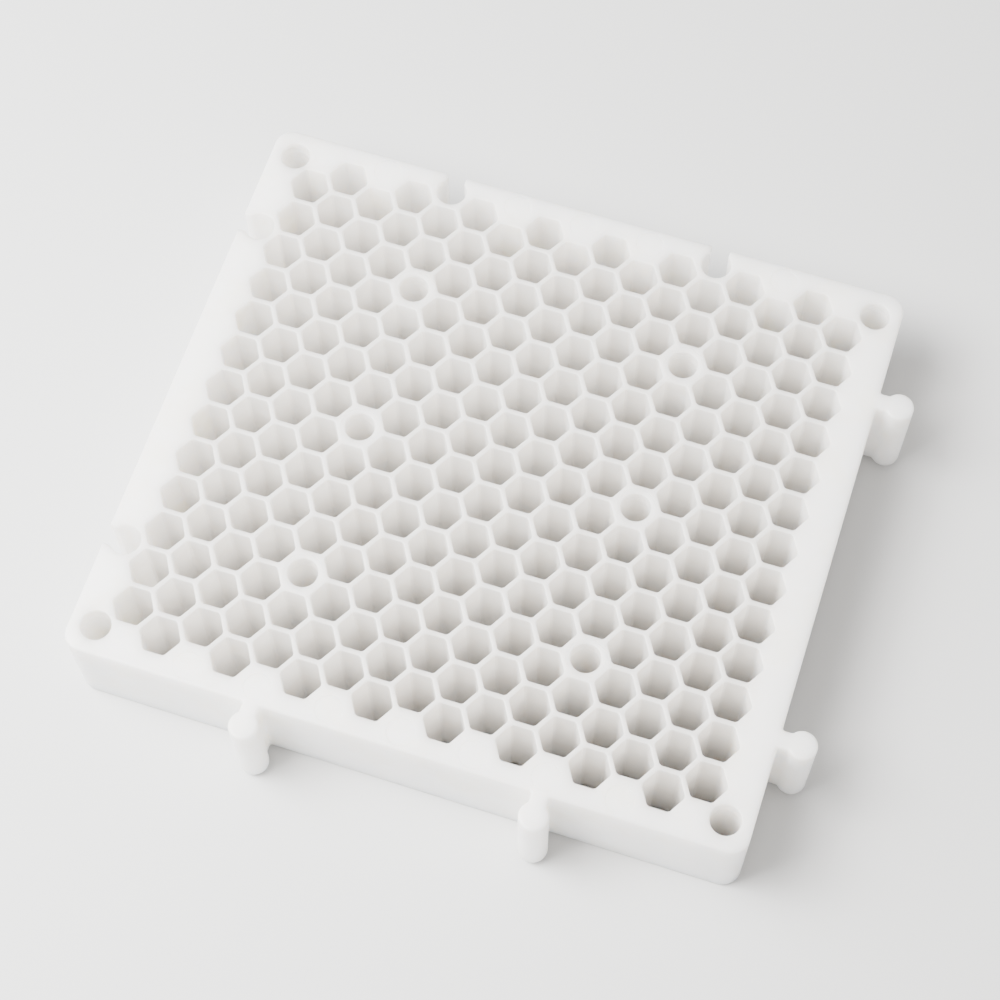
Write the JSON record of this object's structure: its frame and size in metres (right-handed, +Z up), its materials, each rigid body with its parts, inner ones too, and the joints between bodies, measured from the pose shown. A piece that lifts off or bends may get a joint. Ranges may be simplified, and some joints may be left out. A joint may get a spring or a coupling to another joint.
{
  "type": "interlocking honeycomb comb tile",
  "caption": "Flat rectangular plastic tile of open hexagonal bee-comb cells in a solid rim, with mushroom lugs and keyhole slots that link it to tiles like it.",
  "frame": {"origin": "bottom centre of the box around the tile and its lugs; the tile's own centre is at x -2.375 mm, y +2.375 mm", "axes": "+X towards the side with two lugs, +Y towards the back side with two keyhole slots, +Z up out of the side that the cells are seen from"},
  "size_m": [0.0936, 0.085, 0.015],
  "materials": {
    "translucent_plastic": "white translucent moulded plastic, satin"
  },
  "bodies": {
    "root": {"comb_tile": "translucent_plastic"}
  },
  "joints": []
}
